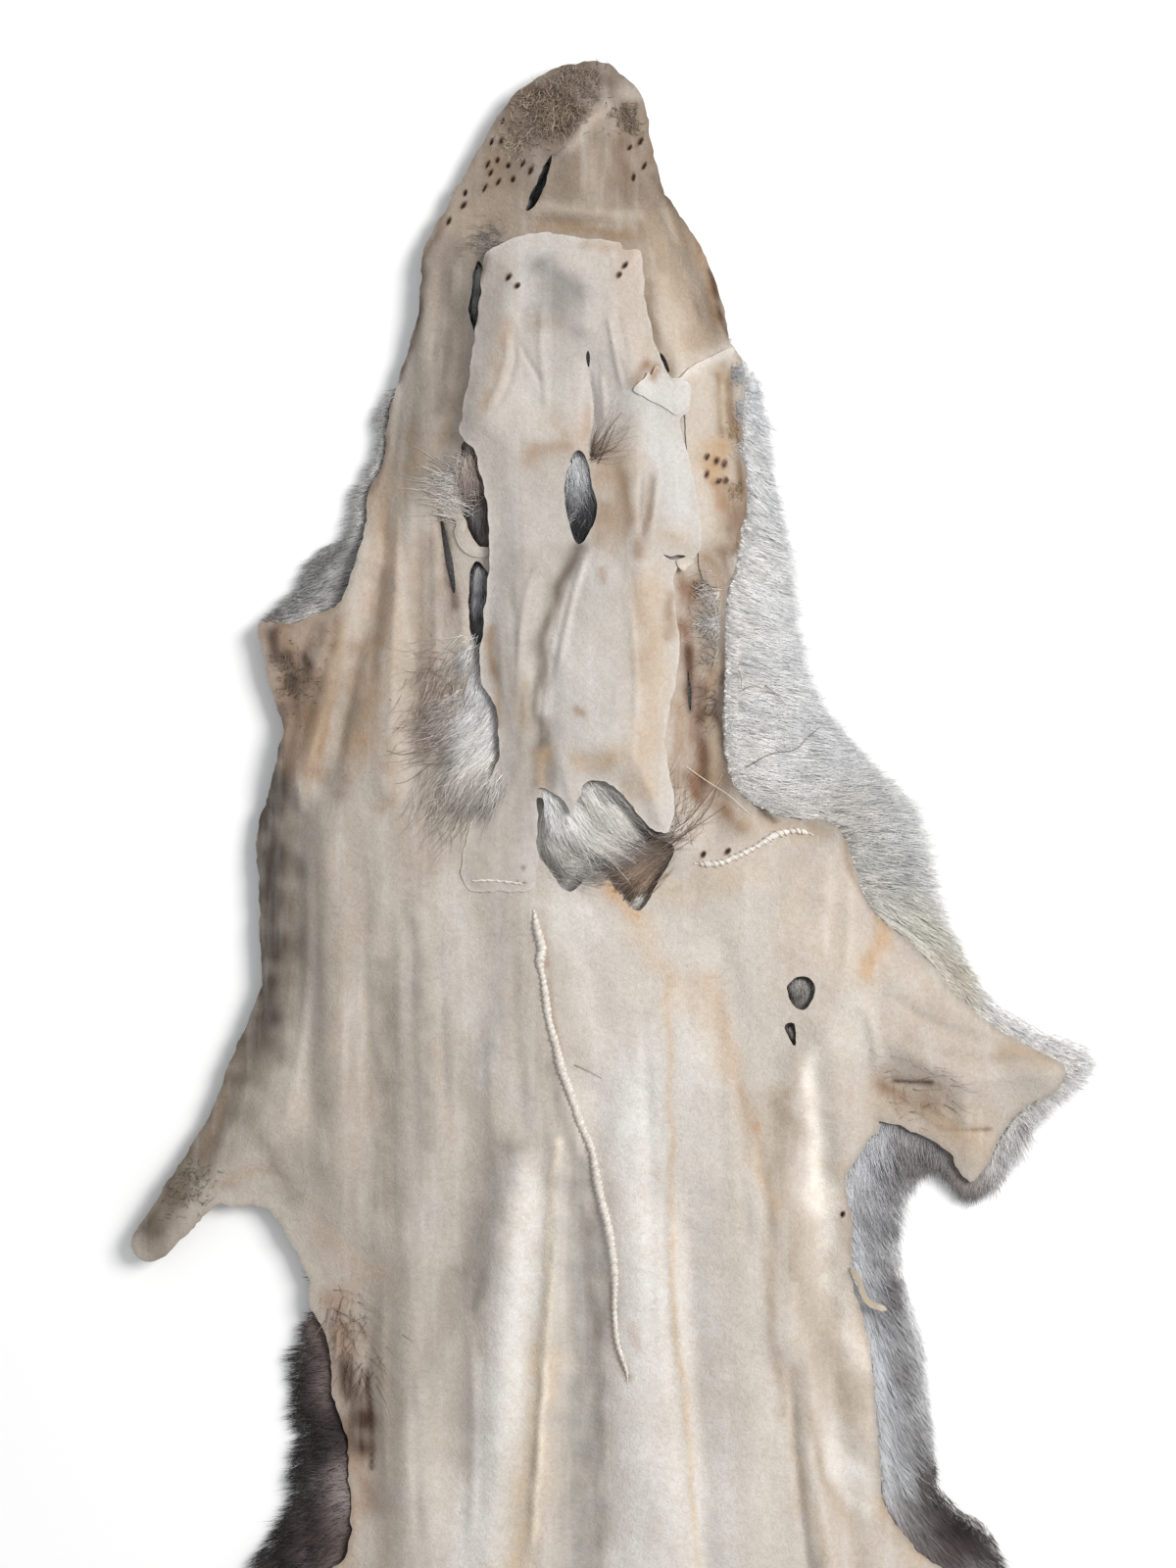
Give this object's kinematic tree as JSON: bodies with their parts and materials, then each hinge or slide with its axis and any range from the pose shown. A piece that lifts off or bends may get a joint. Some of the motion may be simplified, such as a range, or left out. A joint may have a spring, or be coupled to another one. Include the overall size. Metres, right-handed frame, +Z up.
{
  "type": "opossum pelt",
  "caption": "Tanned opossum pelt laid flat, flesh side up: a leather hide with folds and a second throat layer over a coat of fur whose locks stand out round the rim.",
  "frame": {"origin": "centre of the pelt's box, on the surface that the fur lies on", "axes": "+Y from the rump to the nose, +X to the right of the picture, +Z up, out of the flesh side"},
  "size_m": [0.3634, 0.718, 0.0208],
  "materials": {
    "leather": "matt suede flesh side, off-white to tan",
    "jaw_leather": "matt suede flesh side, off-white",
    "fur": "long soft fur, white at the root and dark at the tip",
    "throat_fur": "soft pale fur"
  },
  "bodies": {
    "root": {"fur_pile": "fur", "hide": "leather", "throat_fur": "throat_fur", "throat_skin": "jaw_leather"}
  },
  "joints": []
}
